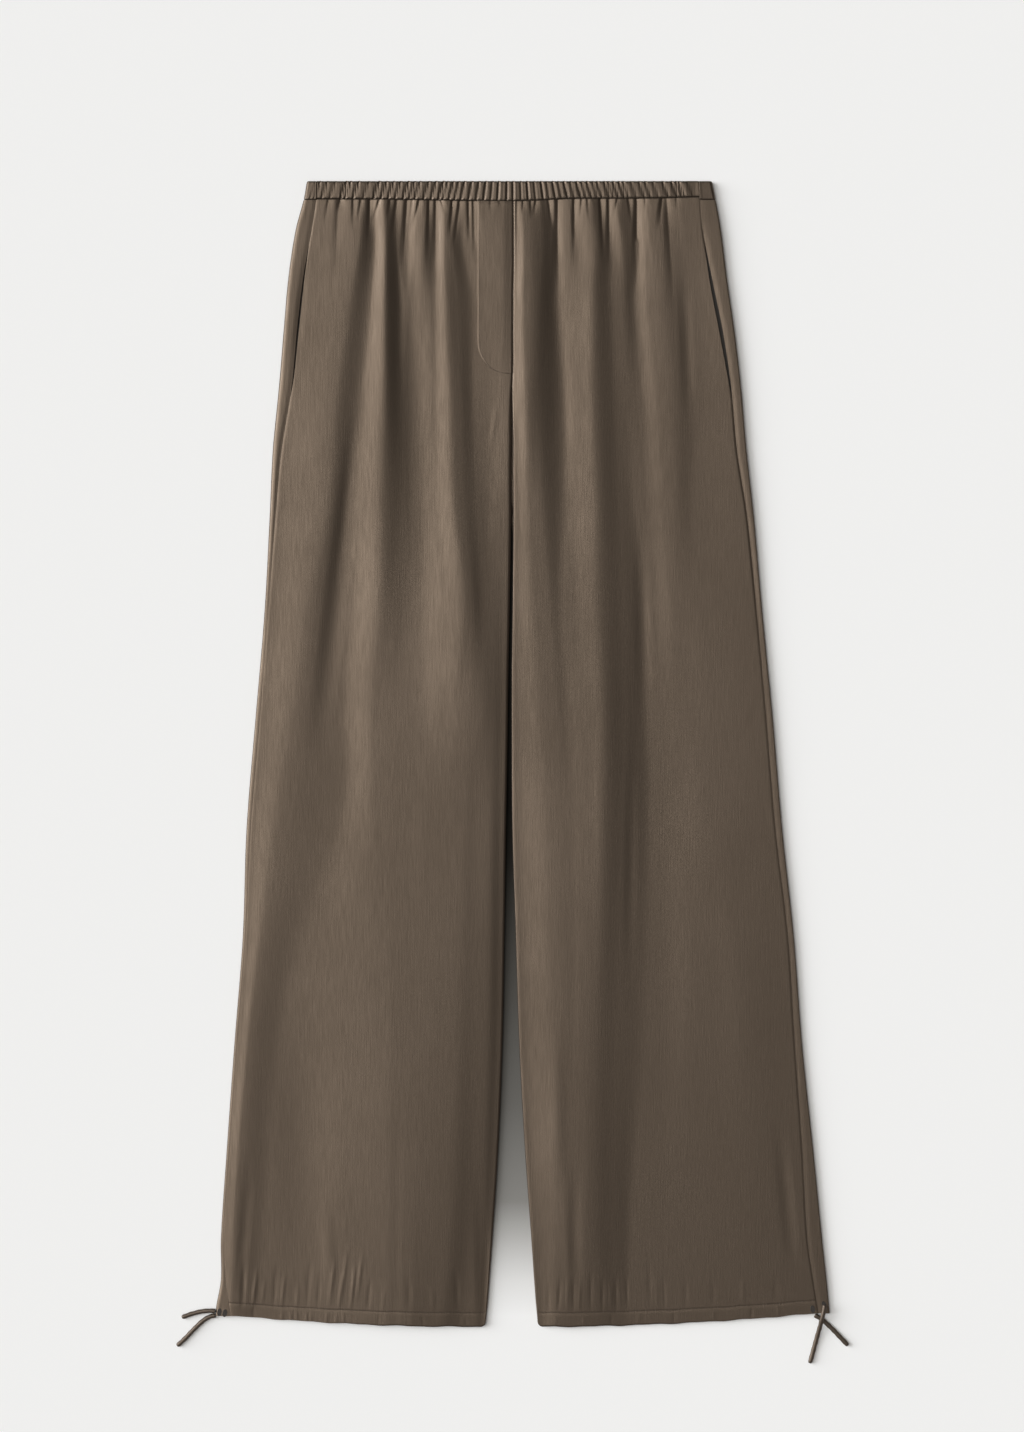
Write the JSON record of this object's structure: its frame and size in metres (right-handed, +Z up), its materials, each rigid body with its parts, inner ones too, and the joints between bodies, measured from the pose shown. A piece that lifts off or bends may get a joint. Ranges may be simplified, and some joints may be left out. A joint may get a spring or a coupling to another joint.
{
  "type": "wide-leg drawstring-hem trousers",
  "caption": "Pull-on satin trousers laid flat: gathered elastic waist, mock fly, side-seam pockets, wide straight legs and hems with drawstring ends at the side seams.",
  "frame": {"origin": "on the surface the trousers lie on, under the middle of the laid-out garment without its drawstring ends", "axes": "+X towards the wearer's left leg, +Y from the hems towards the waist, +Z up from the surface through the back and then the front"},
  "size_m": [0.6243, 1.0959, 0.0091],
  "materials": {
    "satin": "soft satin",
    "waistband": "soft satin, gathered on elastic",
    "pocket_bag": "matt lining cloth",
    "tie": "soft satin"
  },
  "bodies": {
    "root": {"front_right": "satin", "front_left": "satin", "back_right": "satin", "back_left": "satin", "waistband_front": "waistband", "waistband_back": "waistband", "mock_fly": "satin", "pocket_bag_right": "pocket_bag", "pocket_bag_left": "pocket_bag", "tie_right_upper": "tie", "tie_right_lower": "tie", "tie_left_upper": "tie", "tie_left_lower": "tie"}
  },
  "joints": []
}
